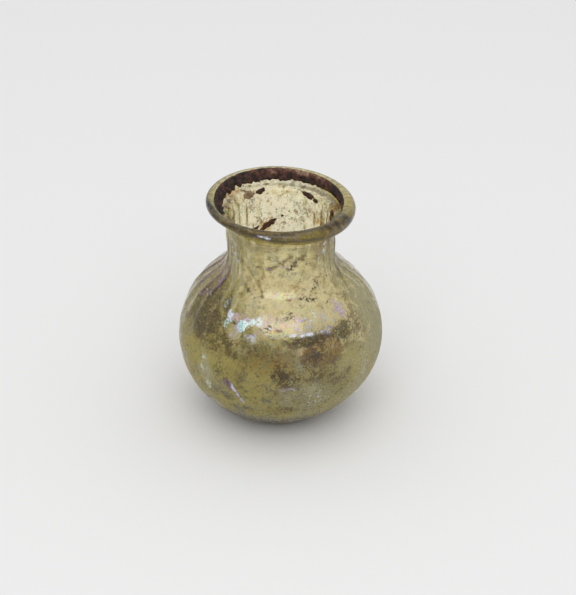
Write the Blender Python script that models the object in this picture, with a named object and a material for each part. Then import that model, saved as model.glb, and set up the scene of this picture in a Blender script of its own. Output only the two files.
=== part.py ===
"""A small globular flask of blown glass, with a ribbed neck and a rolled rim. Metres, +Z up.

The flask stands on Z = 0 with its axis on Z. +X is to the viewer's right and -Y is the front.
Azimuths are measured from +X, so that 180 degrees is the left and 270 degrees the front.
"""

import math

import bmesh
import bpy

# Body, an ellipse in section that is cut level where the flask stands
BODY_RADIUS = 0.0310
BODY_HALF_HEIGHT = 0.0277
RESTING_RADIUS = 0.0120
RESTING_WIDTH = 0.0012
KICK_HEIGHT = 0.0018
KICK_RING = 0.45  # share of the resting radius
BASE_SHIFT = 0.0010
BASE_FLAT = 0.0015
BASE_FLAT_AZIMUTH = math.radians(325.0)

# Shoulder and neck
NECK_RADIUS = 0.0160
SHOULDER_FILLET = 0.0090
NECK_LENGTH = 0.0154

# Flared mouth and rolled rim
RIM_OVERHANG = 0.0060
FLARE_RADIUS = 0.0055
FLARE_DROP = 0.0026
ROLL_RADIUS = 0.00145
ROLL_SWELL = 0.0008
ROLL_SWELL_AZIMUTH = math.radians(315.0)
ROLL_PINCH = 0.00055
ROLL_PINCH_AZIMUTH = math.radians(228.0)
ROLL_PINCH_SHARPNESS = 6.0
ROLL_SEAT = 0.0002
ROLL_START = math.radians(-100.0)
ROLL_END = math.radians(150.0)
RIM_TILT = math.radians(2.1)

# Glass thickness, and the ledge inside the mouth where the fold of the rim ends
WALL = 0.0010
BASE_WALL = 0.0024
HEEL_RISE = 0.0003
HEEL_SHARE = 0.8
FOLD_WALL = 0.0015
LEDGE_DEPTH = 0.0026
LEDGE_DIP = 0.0004

# Ribs pressed into neck and shoulder, which fade out towards the widest part of the body
RIB_COUNT = 28
RIB_DEPTH = 0.0005
RIB_FOOT = 0.0020
RIB_FADE = 0.0160
COLUMNS_PER_RIB = 4

# Steps along each stretch of the section
BELOW_STEPS = 6
ABOVE_STEPS = 4
FILLET_STEPS = 4
FLARE_STEPS = 2
ROLL_STEPS = 6
INNER_BELOW_STEPS = 4
INNER_ABOVE_STEPS = 3
INNER_FILLET_STEPS = 3

GLASS_COLOUR = (0.46, 0.44, 0.20, 1.0)
GLASS_ROUGHNESS = 0.12
GLASS_TRANSMISSION = 0.8
SMOOTH_BELOW = math.radians(50.0)
WELD = 1e-6


def spread(start, end, steps):
    """steps + 1 even values from start to end."""
    return [start + (end - start) * i / steps for i in range(steps + 1)]


def smooth_step(value, low, high):
    """0 below low, 1 above high and a smooth ramp between them."""
    share = min(max((value - low) / (high - low), 0.0), 1.0)
    return share * share * (3.0 - 2.0 * share)


def bump(azimuth, centre, sharpness=1.0):
    """1 at the centre azimuth, falling smoothly to 0 on the far side."""
    return (0.5 + 0.5 * math.cos(azimuth - centre)) ** sharpness


def body_point(angle, inset=0.0):
    """A point of the body's section about the body's centre, set in by inset along the normal."""
    across, up = math.cos(angle), math.sin(angle)
    normal_across, normal_up = across / BODY_RADIUS, up / BODY_HALF_HEIGHT
    length = math.hypot(normal_across, normal_up)
    radius = BODY_RADIUS * across - inset * normal_across / length
    height = BODY_HALF_HEIGHT * up - inset * normal_up / length
    return radius, height


def shoulder_angle():
    """Where on the body's section the shoulder fillet leaves it, so that it ends upright at the neck."""
    low, high = 0.0, math.pi / 2
    for _ in range(60):
        middle = (low + high) / 2
        if body_point(middle, -SHOULDER_FILLET)[0] > NECK_RADIUS + SHOULDER_FILLET:
            low = middle
        else:
            high = middle
    return low


BODY_CENTRE = BODY_HALF_HEIGHT * math.sqrt(1.0 - (RESTING_RADIUS / BODY_RADIUS) ** 2)
SHOULDER_ANGLE = shoulder_angle()
FILLET_RADIUS_AT, FILLET_HEIGHT = body_point(SHOULDER_ANGLE, -SHOULDER_FILLET)
NECK_FOOT = BODY_CENTRE + FILLET_HEIGHT
RIM_HEIGHT = NECK_FOOT + NECK_LENGTH
RIM_RADIUS = NECK_RADIUS + RIM_OVERHANG
FLARE_REACH = RIM_OVERHANG - 2 * ROLL_RADIUS - ROLL_SEAT
FLARE_SWEEP = math.acos(1.0 - FLARE_REACH / FLARE_RADIUS)
FLARE_RISE = FLARE_RADIUS * math.sin(FLARE_SWEEP)
FLARE_FOOT = RIM_HEIGHT - FLARE_DROP - FLARE_RISE
NECK_BORE = NECK_RADIUS - WALL
LEDGE_HEIGHT = RIM_HEIGHT - LEDGE_DEPTH
COLUMNS = RIB_COUNT * COLUMNS_PER_RIB


def body_arc(first_angle, below, above, inset):
    """The body's section from first_angle up to the shoulder, with steps below and above the widest part."""
    angles = spread(first_angle, 0.0, below) + spread(0.0, SHOULDER_ANGLE, above)[1:]
    return [(r, BODY_CENTRE + h) for r, h in (body_point(a, inset) for a in angles)]


def fillet_arc(steps, inset):
    """The hollow curve from the shoulder up to the upright neck."""
    contact = body_point(SHOULDER_ANGLE)
    start = math.atan2(contact[1] - FILLET_HEIGHT, contact[0] - FILLET_RADIUS_AT)
    end = -math.pi
    radius = SHOULDER_FILLET + inset
    angles = spread(start, end, steps)[1:]
    return [(FILLET_RADIUS_AT + radius * math.cos(a), NECK_FOOT + radius * math.sin(a)) for a in angles]


def flare_radius_at(height):
    """The outside of the flared mouth, an arc that starts upright at the neck."""
    rise = min(max(height - FLARE_FOOT, 0.0), FLARE_RISE)
    return NECK_RADIUS + FLARE_RADIUS - math.sqrt(FLARE_RADIUS**2 - rise**2)


def roll_radius(azimuth):
    """The rim's roll is thick at the front right and almost unrolled at the front left."""
    thick = ROLL_SWELL * bump(azimuth, ROLL_SWELL_AZIMUTH)
    thin = ROLL_PINCH * bump(azimuth, ROLL_PINCH_AZIMUTH, ROLL_PINCH_SHARPNESS)
    return ROLL_RADIUS + thick - thin


def kick_curve(shares, floor_height):
    """The hollow under the base, at these shares of the resting radius."""
    return [(s * RESTING_RADIUS, floor_height + KICK_HEIGHT * math.cos(s * math.pi / 2) ** 2) for s in shares]


def outer_section(azimuth):
    """Radius and height up the outside, from the middle of the base to the inner edge of the rim."""
    kick = kick_curve([0.0, KICK_RING], 0.0)
    rest = [(RESTING_RADIUS - RESTING_WIDTH, 0.0), (RESTING_RADIUS, 0.0)]
    first_angle = -math.acos(RESTING_RADIUS / BODY_RADIUS)
    body = body_arc(first_angle, BELOW_STEPS, ABOVE_STEPS, 0.0)[1:]
    fillet = fillet_arc(FILLET_STEPS, 0.0)
    flare = [(flare_radius_at(h), h) for h in spread(FLARE_FOOT, FLARE_FOOT + FLARE_RISE, FLARE_STEPS)]
    roll = roll_radius(azimuth)
    roll_height = RIM_HEIGHT + ROLL_RADIUS - roll
    roll_angles = spread(ROLL_START, ROLL_END, ROLL_STEPS)
    rim = [(RIM_RADIUS - roll + roll * math.cos(a), roll_height + roll * math.sin(a)) for a in roll_angles]
    return kick + rest + body + fillet + flare + rim


def inner_section():
    """Radius and height down the inside, from the ledge in the mouth to the middle of the floor."""
    ledge_radius = flare_radius_at(LEDGE_HEIGHT) - FOLD_WALL
    ledge_lip = (ledge_radius - NECK_BORE) / 3
    ledge = [
        (ledge_radius, LEDGE_HEIGHT),
        (NECK_BORE + ledge_lip, LEDGE_HEIGHT - LEDGE_DIP),
        (NECK_BORE, LEDGE_HEIGHT - LEDGE_DIP - ledge_lip),
    ]
    first_angle = -math.asin((BODY_CENTRE - BASE_WALL - HEEL_RISE) / (BODY_HALF_HEIGHT - WALL))
    heel_up = body_arc(first_angle, INNER_BELOW_STEPS, INNER_ABOVE_STEPS, WALL)
    heel_up += fillet_arc(INNER_FILLET_STEPS, WALL)
    floor = [(HEEL_SHARE * heel_up[0][0], BASE_WALL)] + kick_curve([KICK_RING, 0.0], BASE_WALL)
    return ledge + heel_up[::-1] + floor


def section(azimuth):
    """The whole section through the glass at one azimuth, with its share of the ribs."""
    points = outer_section(azimuth) + inner_section()
    wave = math.cos(RIB_COUNT * azimuth)
    ribbed = []
    for radius, height in points:
        rise = smooth_step(height, BODY_CENTRE + RIB_FOOT, BODY_CENTRE + RIB_FOOT + RIB_FADE)
        fall = smooth_step(height, FLARE_FOOT, LEDGE_HEIGHT)
        ribbed.append((radius + RIB_DEPTH / 2 * wave * rise * (1.0 - fall), height))
    return ribbed


def placed(radius, height, azimuth):
    """A point of the flask: the base sags to the left and is flatter at the right, where the rim dips."""
    depth = max(BODY_CENTRE - height, 0.0) / BODY_CENTRE
    slim = BASE_FLAT * bump(azimuth, BASE_FLAT_AZIMUTH) * math.sin(depth * math.pi / 2) ** 2
    radius -= slim * radius / BODY_RADIUS
    x = radius * math.cos(azimuth) - BASE_SHIFT * depth**2
    y = radius * math.sin(azimuth)
    tilt = math.tan(RIM_TILT) * smooth_step(height, NECK_FOOT, FLARE_FOOT)
    return x, y, height - x * tilt


def glass_material():
    """Aged yellow-green glass."""
    material = bpy.data.materials.new("weathered yellow-green glass")
    material.use_nodes = True
    shader = material.node_tree.nodes["Principled BSDF"]
    shader.inputs["Base Color"].default_value = GLASS_COLOUR
    shader.inputs["Metallic"].default_value = 0.0
    shader.inputs["Roughness"].default_value = GLASS_ROUGHNESS
    shader.inputs["Transmission Weight"].default_value = GLASS_TRANSMISSION
    return material


def make_flask():
    """Turns the section about the axis, then gives each column of points the section of its own azimuth."""
    bm = bmesh.new()
    place_in_section = bm.verts.layers.int.new("place in section")
    chain = []
    for i, (radius, height) in enumerate(section(0.0)):
        vert = bm.verts.new((radius, 0.0, height))
        vert[place_in_section] = i
        chain.append(vert)
    edges = [bm.edges.new(pair) for pair in zip(chain, chain[1:])]
    bmesh.ops.spin(
        bm,
        geom=chain + edges,
        cent=(0.0, 0.0, 0.0),
        axis=(0.0, 0.0, 1.0),
        angle=2 * math.pi,
        steps=COLUMNS,
        use_merge=True,
    )
    bmesh.ops.remove_doubles(bm, verts=bm.verts, dist=WELD)
    azimuths = [2 * math.pi * column / COLUMNS for column in range(COLUMNS)]
    sections = [section(azimuth) for azimuth in azimuths]
    for vert in bm.verts:
        column = round(math.atan2(vert.co.y, vert.co.x) / (2 * math.pi) * COLUMNS) % COLUMNS
        radius, height = sections[column][vert[place_in_section]]
        vert.co = placed(radius, height, azimuths[column])
    bmesh.ops.recalc_face_normals(bm, faces=bm.faces)
    mesh = bpy.data.meshes.new("flask")
    bm.to_mesh(mesh)
    bm.free()
    mesh.shade_smooth()
    mesh.set_sharp_from_angle(angle=SMOOTH_BELOW)
    mesh.materials.append(glass_material())
    flask = bpy.data.objects.new("flask", mesh)
    bpy.context.scene.collection.objects.link(flask)
    return flask


def main():
    for old in list(bpy.data.objects):
        bpy.data.objects.remove(old)
    make_flask()


if __name__ == "__main__":
    main()
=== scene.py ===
"""Looks of a small ancient flask of blown glass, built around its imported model. Metres, +Z up.

The glass is made again with finer steps, its ribs, tool marks, pits and pontil scar, and it stands
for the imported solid. The crust in the mouth and the dried clots in the neck are pieces of their own.
Azimuths are measured from +X, so that 180 degrees is the left and 270 degrees the front.
"""

import math
from functools import partial

import bmesh
import bpy
from bpy.props import FloatProperty, FloatVectorProperty, IntProperty, PointerProperty
from mathutils import Matrix, Vector, geometry, noise


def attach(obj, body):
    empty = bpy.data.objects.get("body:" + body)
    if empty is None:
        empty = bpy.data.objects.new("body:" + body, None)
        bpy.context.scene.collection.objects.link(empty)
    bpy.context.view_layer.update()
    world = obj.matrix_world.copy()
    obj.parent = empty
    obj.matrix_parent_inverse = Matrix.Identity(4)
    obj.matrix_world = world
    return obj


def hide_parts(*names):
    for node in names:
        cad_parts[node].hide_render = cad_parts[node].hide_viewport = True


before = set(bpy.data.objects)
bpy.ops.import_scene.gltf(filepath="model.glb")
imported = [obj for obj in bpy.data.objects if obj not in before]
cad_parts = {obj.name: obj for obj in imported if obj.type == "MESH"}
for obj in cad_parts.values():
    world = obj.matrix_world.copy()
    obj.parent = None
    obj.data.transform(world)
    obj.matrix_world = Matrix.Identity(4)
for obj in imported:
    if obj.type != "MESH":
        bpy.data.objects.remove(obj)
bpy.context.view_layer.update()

bl_info = {
    "name": "Weathered Glass Flask",
    "version": (1, 0, 0),
    "blender": (4, 5, 0),
    "location": "3D View > Sidebar > Flask",
    "description": "Builds a small ancient flask of weathered yellow-green glass",
    "category": "Add Mesh",
}

MM = 0.001
TURN = 2 * math.pi
BODY = "root"
NODE = "flask"
WELD = 1e-6
FRONT = math.radians(275.0)  # the middle of the side that the photo shows
BACK = math.radians(90.0)


def length(name, description, default):
    """A size in metres that a user can change."""
    return FloatProperty(
        name=name, description=description, default=default, precision=5, subtype="DISTANCE", unit="LENGTH"
    )


def angle(name, description, degrees):
    """An angle that a user can change."""
    return FloatProperty(name=name, description=description, default=math.radians(degrees), subtype="ANGLE")


def share(name, description, default, soft_max=1.0):
    """A plain number that a user can change."""
    return FloatProperty(name=name, description=description, default=default, min=0.0, soft_max=soft_max)


def linear(code):
    """sRGB hex to the linear colour that shaders take."""
    channels = [int(code[i : i + 2], 16) / 255 for i in (1, 3, 5)]
    return tuple(c / 12.92 if c <= 0.04045 else ((c + 0.055) / 1.055) ** 2.4 for c in channels) + (1.0,)


def colour(name, description, code):
    """A colour that a user can change."""
    return FloatVectorProperty(
        name=name, description=description, default=linear(code), size=4, min=0.0, max=1.0, subtype="COLOR"
    )


class FlaskSizes(bpy.types.PropertyGroup):
    """The blown glass."""

    body_radius: length("Body radius", "Half the width of the round body", 0.0310)
    body_half_height: length("Body half height", "Half the height of the full body ellipse", 0.0277)
    resting_radius: length("Resting radius", "Outer radius of the worn ring that the flask stands on", 0.0120)
    resting_width: length("Resting width", "Width of that ring", 0.0012)
    kick_height: length("Kick height", "How far the middle of the base is pushed up", 0.0018)
    kick_ring: share("Kick ring", "Share of the resting radius where the kick's inner ring lies", 0.45)
    base_shift: length("Base shift", "How far the base sags to the left", 0.0010)
    base_flat: length("Base flat", "How much the lower right side is pressed in", 0.0015)
    base_flat_azimuth: angle("Base flat azimuth", "Where it is pressed in", 325.0)
    neck_radius: length("Neck radius", "Outer radius of the neck", 0.0160)
    shoulder_fillet: length("Shoulder fillet", "Radius of the hollow curve from shoulder to neck", 0.0090)
    neck_length: length("Neck length", "From the foot of the neck to the middle of the rim's roll", 0.0154)
    rim_overhang: length("Rim overhang", "How far the rim stands out past the neck", 0.0060)
    flare_radius: length("Flare radius", "Radius of the curve that opens the mouth", 0.0055)
    flare_drop: length("Flare drop", "From the roll's middle down to the end of that curve", 0.0026)
    roll_radius: length("Roll radius", "Radius of the rolled rim", 0.00145)
    roll_swell: length("Roll swell", "How much thicker the roll is at the front right", 0.0008)
    roll_swell_azimuth: angle("Roll swell azimuth", "Where the roll is thickest", 315.0)
    roll_pinch: length("Roll pinch", "How much thinner the roll is at the front left", 0.00055)
    roll_pinch_azimuth: angle("Roll pinch azimuth", "Where the roll is thinnest", 228.0)
    roll_seat: length("Roll seat", "Gap that the roll leaves over the flare", 0.0002)
    rim_tilt: angle("Rim tilt", "How far the mouth leans to the right", 2.1)
    wall: length("Wall", "Thickness of the glass", 0.0010)
    base_wall: length("Base wall", "Thickness of the glass in the base", 0.0024)
    fold_wall: length("Fold wall", "Thickness of the folded glass at the ledge", 0.0015)
    ledge_depth: length("Ledge depth", "From the roll's middle down to the ledge in the mouth", 0.0026)
    rib_count: IntProperty(name="Ribs", description="Ribs round the neck", default=28, min=8, soft_max=48)
    rib_depth: length("Rib depth", "How far a rib stands out", 0.0005)
    rib_foot: length("Rib foot", "Height over the body's middle where the ribs fade out", 0.0020)
    rib_fade: length("Rib fade", "Over what height they fade", 0.0160)
    wander: length("Wander", "How far the blown wall strays from a true curve", 0.00022)
    pits: length("Pits", "Depth of the pits that burial left in the glass", 0.00007)


class FlaskColours(bpy.types.PropertyGroup):
    """The finishes, as sRGB hex values turned linear."""

    clear_glass: colour("Clear glass", "Glass of the neck, pale straw yellow", "#FDF8E4")
    olive_stain: colour("Olive stain", "What light takes on in the stained body, olive", "#94904A")
    gold_stain: colour("Gold stain", "Golden-brown clouds in the glass", "#BE9138")
    mauve_stain: colour("Mauve stain", "Purple-mauve streaks on the shoulders", "#AA929C")
    brown_stain: colour("Brown stain", "Brown mottling that still lets light through", "#80602A")
    speck: colour("Specks", "Dark veins and specks", "#3C2C10")
    haze: colour("Haze", "Dull olive weathering film", "#CCC070")
    haze_pale: colour("Pale haze", "Chalky grey-green parts of that film", "#C4C09A")
    haze_gold: colour("Golden haze", "Golden-brown parts of that film", "#B08C40")
    scale: colour("Scale", "Brown-black burial scale", "#2E2519")
    scale_warm: colour("Warm scale", "Lighter brown parts of that scale", "#5A4730")
    film_blue: colour("Blue film", "Blue-green play of the iridescent film", "#A3CFD0")
    film_white: colour("White film", "Silvery play of the iridescent film", "#EDF2EC")
    film_violet: colour("Violet film", "Violet play of the iridescent film", "#A8A2D2")
    film_rose: colour("Rose film", "Rose play of the iridescent film", "#CFB0BE")
    film_gold: colour("Gold film", "Golden play of the iridescent film", "#C9BC86")
    crust: colour("Crust", "Dark earth crust in the mouth", "#1C1511")
    crust_rust: colour("Rusty crust", "Red-brown crumbs in the crust", "#5E3A2C")
    crust_pale: colour("Pale crust", "Pinkish light crumbs in the crust", "#A88E74")
    body_tint: colour("Body tint", "What thick glass takes on, olive yellow", "#EAD93C")
    floor: colour("Floor", "Pale studio floor", "#EFEFEF")


class FlaskStage(bpy.types.PropertyGroup):
    """Floor, lights and camera."""

    camera_elevation: angle("Camera elevation", "How far the camera looks down", 32.03)
    camera_distance: length("Camera distance", "From the camera to the middle of the body", 0.600)
    lens: share("Lens", "Focal length in mm on a sensor 36 mm wide", 123.04, 200.0)
    overhead_light: share("Overhead light", "Brightness of the softbox overhead", 0.45, 10.0)
    overhead_width: length("Softbox width", "Width of that softbox", 1.07)
    overhead_height: length("Softbox height", "Its height over the floor", 0.95)
    front_light: share("Front light", "Brightness of the panel over the camera", 1.9, 10.0)
    front_elevation: angle("Front panel elevation", "How high the panel over the camera stands", 48.0)
    front_distance: length("Front panel distance", "From the flask to that panel", 1.4)
    room_light: share("Room light", "Brightness of the pale room", 0.70, 2.0)


def spread(start, end, steps):
    """steps + 1 even values from start to end."""
    return [start + (end - start) * i / steps for i in range(steps + 1)]


def smooth_step(value, low, high):
    """0 below low, 1 above high and a smooth ramp between them."""
    part = min(max((value - low) / (high - low), 0.0), 1.0)
    return part * part * (3.0 - 2.0 * part)


def bump(azimuth, centre, sharpness=1.0):
    """1 at the centre azimuth, falling smoothly to 0 on the far side."""
    return (0.5 + 0.5 * math.cos(azimuth - centre)) ** sharpness


def grain(point, size, offset=0.0):
    """Smooth noise from -1 to 1 whose lumps are about this size."""
    return noise.noise(Vector(point) / size + Vector((offset, offset * 1.7, -offset)))


def around(azimuth, centre):
    """Signed turn in degrees from one azimuth to another, both in degrees."""
    return (azimuth - centre + 180.0) % 360.0 - 180.0


class Glass:
    """The section through the flask's glass, turned about Z. Each azimuth has its own section."""

    roll_start = math.radians(-100.0)
    roll_end = math.radians(150.0)
    roll_flat = 0.93  # the roll is pressed a little flat from above
    pinch_sharpness = 6.0
    heel_rise = 0.0003
    heel_share = 0.8
    ledge_dip = 0.0004

    def __init__(self, s):
        self.s = s
        self.centre = s.body_half_height * math.sqrt(1.0 - (s.resting_radius / s.body_radius) ** 2)
        low, high = 0.0, math.pi / 2
        for _ in range(60):
            middle = (low + high) / 2
            outside = self.body_point(middle, -s.shoulder_fillet)[0] > s.neck_radius + s.shoulder_fillet
            low, high = (middle, high) if outside else (low, middle)
        self.shoulder = low
        self.fillet_across, self.fillet_up = self.body_point(low, -s.shoulder_fillet)
        self.neck_foot = self.centre + self.fillet_up
        self.rim_height = self.neck_foot + s.neck_length
        self.rim_radius = s.neck_radius + s.rim_overhang
        reach = s.rim_overhang - 2 * s.roll_radius - s.roll_seat
        self.flare_rise = s.flare_radius * math.sin(math.acos(1.0 - reach / s.flare_radius))
        self.flare_foot = self.rim_height - s.flare_drop - self.flare_rise
        self.bore = s.neck_radius - s.wall
        self.ledge_height = self.rim_height - s.ledge_depth
        self.ledge_radius = self.flare_at(self.ledge_height) - s.fold_wall

    def body_point(self, angle, inset=0.0):
        """A point of the body's section about its centre, set in by inset along the normal."""
        s = self.s
        across, up = math.cos(angle), math.sin(angle)
        normal = Vector((across / s.body_radius, up / s.body_half_height)).normalized()
        return s.body_radius * across - inset * normal.x, s.body_half_height * up - inset * normal.y

    def body_arc(self, first, below, above, inset):
        """The body's section from the first angle up to the shoulder."""
        angles = spread(first, 0.0, below) + spread(0.0, self.shoulder, above)[1:]
        return [(r, self.centre + h) for r, h in (self.body_point(a, inset) for a in angles)]

    def fillet_arc(self, steps, inset):
        """The hollow curve from the shoulder up to the upright neck."""
        contact = self.body_point(self.shoulder)
        start = math.atan2(contact[1] - self.fillet_up, contact[0] - self.fillet_across)
        radius = self.s.shoulder_fillet + inset
        return [
            (self.fillet_across + radius * math.cos(a), self.neck_foot + radius * math.sin(a))
            for a in spread(start, -math.pi, steps)[1:]
        ]

    def flare_at(self, height):
        """The outside of the flared mouth, an arc that starts upright at the neck."""
        rise = min(max(height - self.flare_foot, 0.0), self.flare_rise)
        return self.s.neck_radius + self.s.flare_radius - math.sqrt(self.s.flare_radius**2 - rise**2)

    def roll_at(self, azimuth):
        """The rim's roll is thick at the front right and almost unrolled at the front left."""
        s = self.s
        thick = s.roll_swell * bump(azimuth, s.roll_swell_azimuth)
        thin = s.roll_pinch * bump(azimuth, s.roll_pinch_azimuth, self.pinch_sharpness)
        return s.roll_radius + thick - thin

    def kick(self, shares, floor_height):
        """The hollow under the base, at these shares of the resting radius."""
        s = self.s
        rises = [s.kick_height * math.cos(p * math.pi / 2) ** 2 for p in shares]
        return [(p * s.resting_radius, floor_height + rise) for p, rise in zip(shares, rises)]

    def roll_point(self, azimuth, turn, lift=0.0):
        """A point on the rim's roll, or over it by lift."""
        roll = self.roll_at(azimuth)
        height = self.rim_height + self.s.roll_radius - roll
        flat = self.roll_flat if math.sin(turn) > 0 else 1.0
        across = self.rim_radius - roll + (roll + lift) * math.cos(turn)
        return across, height + (roll * flat + lift) * math.sin(turn)

    def outside(self, azimuth):
        """Radius and height up the outside, from the middle of the base to the inner edge of the rim."""
        s = self.s
        ring = s.resting_radius - s.resting_width
        *kick, (_, edge) = self.kick(spread(0.0, ring / s.resting_radius, 12), 0.0)
        kick = [(r, max(h - edge * r / ring, 0.0)) for r, h in kick]
        rest = [(ring, 0.0), (s.resting_radius, 0.0)]
        body = self.body_arc(-math.acos(s.resting_radius / s.body_radius), 36, 26, 0.0)[1:]
        fillet = self.fillet_arc(14, 0.0)
        neck = [(s.neck_radius, h) for h in spread(self.neck_foot, self.flare_foot, 8)[1:-1]]
        flare_top = self.flare_foot + self.flare_rise
        flare = [(self.flare_at(h), h) for h in spread(self.flare_foot, flare_top, 7)]
        rim = [self.roll_point(azimuth, a) for a in spread(self.roll_start, self.roll_end, 20)]
        return kick + rest + body + fillet + neck + flare + rim

    def mouth(self, azimuth):
        """Radius and height down the funnel of the mouth, over the ledge and down to the neck's wall."""
        lip = (self.ledge_radius - self.bore) / 3
        top = Vector(self.roll_point(azimuth, self.roll_end))
        foot = Vector((self.ledge_radius, self.ledge_height))
        funnel = [tuple(top.lerp(foot, p)) for p in spread(0.0, 1.0, 5)[1:]]
        return funnel + [
            (self.bore + 2 * lip, self.ledge_height - 0.3 * self.ledge_dip),
            (self.bore + lip, self.ledge_height - self.ledge_dip),
            (self.bore + 0.3 * lip, self.ledge_height - self.ledge_dip - 0.3 * lip),
            (self.bore, self.ledge_height - self.ledge_dip - lip),
        ]

    def inside(self, azimuth):
        """Radius and height down the inside, from the funnel of the mouth to the middle of the floor."""
        s = self.s
        mouth = self.mouth(azimuth)
        neck = [(self.bore, h) for h in spread(mouth[-1][1], self.neck_foot, 12)[1:-1]]
        first = -math.asin((self.centre - s.base_wall - self.heel_rise) / (s.body_half_height - s.wall))
        up = self.body_arc(first, 26, 16, s.wall) + self.fillet_arc(12, s.wall)
        heel = [(self.heel_share * up[0][0], s.base_wall)]
        return mouth + neck + up[::-1] + heel + self.kick(spread(s.kick_ring, 0.0, 4), s.base_wall)

    def placed(self, radius, height, azimuth):
        """A point of the flask: the base sags to the left, is flatter at the right, and the rim dips."""
        s = self.s
        depth = max(self.centre - height, 0.0) / self.centre
        slim = s.base_flat * bump(azimuth, s.base_flat_azimuth) * math.sin(depth * math.pi / 2) ** 2
        radius -= slim * radius / s.body_radius
        x = radius * math.cos(azimuth) - s.base_shift * depth**2
        tilt = math.tan(s.rim_tilt) * smooth_step(height, self.neck_foot, self.flare_foot)
        return Vector((x, radius * math.sin(azimuth), height - x * tilt))


def rib_ridge(glass, azimuth, height):
    """0 in a flute to 1 on a rib. The ribs lean, waver and differ in strength."""
    if height < glass.centre + glass.s.rib_foot:
        return 0.0
    ring = (math.cos(azimuth), math.sin(azimuth), height / 0.02)  # a unit is one radius or 20 mm up
    lean = 0.07 * grain(ring, 0.7, 5.0)
    ridge = 0.5 + 0.5 * math.cos(glass.s.rib_count * (azimuth + lean))
    return ridge**1.7 * (0.72 + 0.9 * grain(ring, 0.35, 11.0))


def rib_wave(glass, azimuth, height, ridge):
    """How far a pressed rib stands out. The ribs are worn soft at the front."""
    s = glass.s
    rise = smooth_step(height, glass.centre + s.rib_foot, glass.centre + s.rib_foot + s.rib_fade)
    fall = 1.0 - smooth_step(height, glass.flare_foot, glass.ledge_height)
    soft = 1.0 - 0.8 * bump(azimuth, FRONT, 4.0)
    return s.rib_depth * (ridge - 0.4) * rise * fall * soft


def wander(glass, azimuth, height):
    """How far the blown wall strays from a true curve. It only ever goes inwards."""
    point = (math.cos(azimuth) * 0.03, math.sin(azimuth) * 0.03, height)
    return -glass.s.wander * (0.5 + 0.5 * grain(point, 0.013, 2.0))


def pitting(glass, point):
    """Shallow pits in the outside, deepest on the lower body."""
    low = 1.0 - 0.7 * smooth_step(point.z, glass.centre + 0.012, glass.neck_foot)
    rough = grain(point, 0.0016, 9.0) + 0.6 * grain(point, 0.0007, 3.0)
    return -glass.s.pits * low * max(rough, 0.0)


# Where the weathering lies on the outside. Each patch has its azimuth in degrees, its height, half
# width and half height in mm, a turn in degrees that leans it to the right, and its strength.
CLEAR_WINDOW = [
    (287, 52, 15, 12, 0, 1),
    (302, 43.5, 8, 3, 0, 0.9),
    (262, 43.5, 6.4, 2.6, 0, 0.8),
]
DARK_CLOUDS = [
    (213, 41.5, 8.5, 8, 0, 1.45),
    (224, 44.4, 1.6, 1.4, 0, 1.2),
    (219, 41.8, 3.6, 2.2, 0, 1),
    (226, 36, 6, 5, 0, 0.7),
    (287, 38.5, 7.5, 1.6, 0, 0.9),
    (311, 38.6, 4.4, 2.6, 0, 0.8),
    (288, 32.6, 3.4, 2.6, 0, 0.35),
    (269, 29.1, 3, 2.6, 0, 0.7),
    (301, 24, 8, 6, 0, 0.15),
    (243, 33, 1.1, 0.9, 0, 1),
    (248, 39, 2, 3, 0, 0.6),
    (240, 23.8, 2.8, 1.6, -32, 0.9),
    (276, 25.5, 3.4, 3, 0, 0.3),
    (283, 21, 4.4, 3, 0, 0.25),
    (293, 23.5, 6, 3.6, 0, 0.2),
    (299, 29.5, 5.4, 3.2, 20, 0.25),
    (270, 15, 6, 2.4, 0, 0.5),
    (252, 14, 4, 1.8, -20, 0.4),
    (238.5, 34, 1.6, 1.4, 0, 0.9),
]
GREY_CLOUDS = [
    (285, 20.6, 9.5, 6, 0, 0.4),
    (223, 25, 3.2, 7, 8, 0.9),
    (221, 12, 5, 4, 0, 0.8),
    (239.5, 39.2, 2.4, 2, 0, 0.8),
    (251, 38.8, 2.6, 1.2, 0, 0.8),
    (345, 34, 8, 14, 0, 0.7),
]
GOLD_CLOUDS = [
    (296, 34.6, 7.3, 4.2, 0, 1),
    (263, 33, 9, 5.5, 0, 0.35),
    (244, 28.6, 5.2, 4.5, 0, 0.25),
]
SPECKLED = [
    (306, 49, 6, 6, 0, 1),
    (290, 48.5, 4, 3, 0, 0.8),
    (300, 37, 11, 6, 0, 0.9),
    (330, 38, 8, 8, 0, 0.8),
    (288, 24, 16, 11, 0, 1),
    (255, 33, 8, 4, 0, 0.5),
    (345, 30, 9, 11, 0, 0.8),
    (285, 58.5, 9, 2.5, 0, 0.9),
]
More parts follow.
